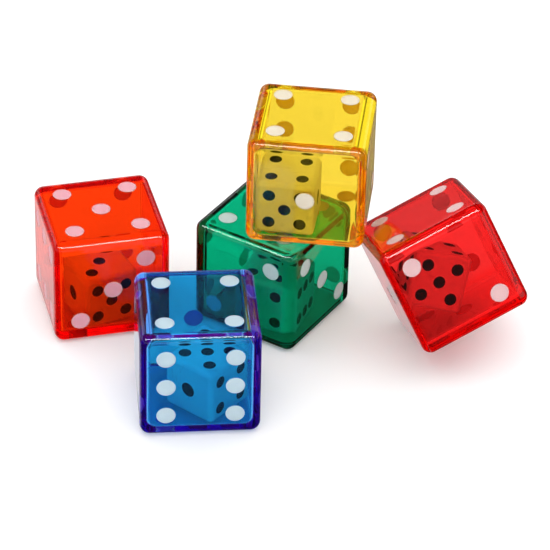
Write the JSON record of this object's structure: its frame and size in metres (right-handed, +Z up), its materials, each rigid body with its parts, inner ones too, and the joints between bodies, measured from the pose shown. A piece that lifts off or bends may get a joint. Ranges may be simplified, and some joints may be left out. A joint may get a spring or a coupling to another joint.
{
  "type": "double dice set",
  "caption": "Hollow clear-tinted plastic dice, each with a smaller solid white die loose inside, scattered with one stood on another and one tipped on a corner.",
  "frame": {"origin": "bottom centre of the whole set, on the table that the dice stand on", "axes": "+Z up; +X along the row of dice, towards the tipped red die; -Y towards the blue die at the front"},
  "size_m": [0.08, 0.048, 0.0381],
  "materials": {
    "green_clear": "gloss",
    "yellow_clear": "gloss",
    "blue_clear": "gloss",
    "orange_clear": "gloss",
    "red_clear": "gloss",
    "inner_white": "satin",
    "pip_white": "satin",
    "pip_black": "satin"
  },
  "bodies": {
    "green": {"green_shell": "green_clear", "green_lid": "green_clear"},
    "green_inner": {"green_inner_die": "inner_white"},
    "yellow": {"yellow_shell": "yellow_clear", "yellow_lid": "yellow_clear"},
    "yellow_inner": {"yellow_inner_die": "inner_white"},
    "blue": {"blue_shell": "blue_clear", "blue_lid": "blue_clear"},
    "blue_inner": {"blue_inner_die": "inner_white"},
    "orange": {"orange_shell": "orange_clear", "orange_lid": "orange_clear"},
    "orange_inner": {"orange_inner_die": "inner_white"},
    "red": {"red_shell": "red_clear", "red_lid": "red_clear"},
    "red_inner": {"red_inner_die": "inner_white"}
  },
  "joints": [
    {"name": "yellow_lift", "type": "slide", "parent": "green", "child": "yellow", "axis": [0, 0, 1], "range_m": [0, 0.03]},
    {"name": "blue_roll", "type": "hinge", "parent": "green", "child": "blue", "pos_m": [-0.01164, -0.02164, 0.0016], "axis": [0.9954, 0.0958, 0], "range_deg": [0, 90]},
    {"name": "orange_roll", "type": "hinge", "parent": "green", "child": "orange", "pos_m": [-0.03644, 0.00945, 0.0016], "axis": [0.2504, -0.9681, 0], "range_deg": [0, 90]},
    {"name": "red_settle", "type": "hinge", "parent": "green", "child": "red", "pos_m": [0.02141, 0.00843, 0.0016], "axis": [0.4067, 0.9135, 0], "range_deg": [0, 29.5]},
    {"name": "green_rattle", "type": "slide", "parent": "green", "child": "green_inner", "axis": [0, 0, 1], "range_m": [0, 0.0067]},
    {"name": "yellow_rattle", "type": "slide", "parent": "yellow", "child": "yellow_inner", "axis": [0, 0, 1], "range_m": [0, 0.0067]},
    {"name": "blue_rattle", "type": "slide", "parent": "blue", "child": "blue_inner", "axis": [0, 0, 1], "range_m": [0, 0.0067]},
    {"name": "orange_rattle", "type": "slide", "parent": "orange", "child": "orange_inner", "axis": [0, 0, 1], "range_m": [0, 0.0067]},
    {"name": "red_rattle", "type": "slide", "parent": "red", "child": "red_inner", "axis": [0.2086, -0.924, 0.3205], "range_m": [0, 0.0064]}
  ]
}
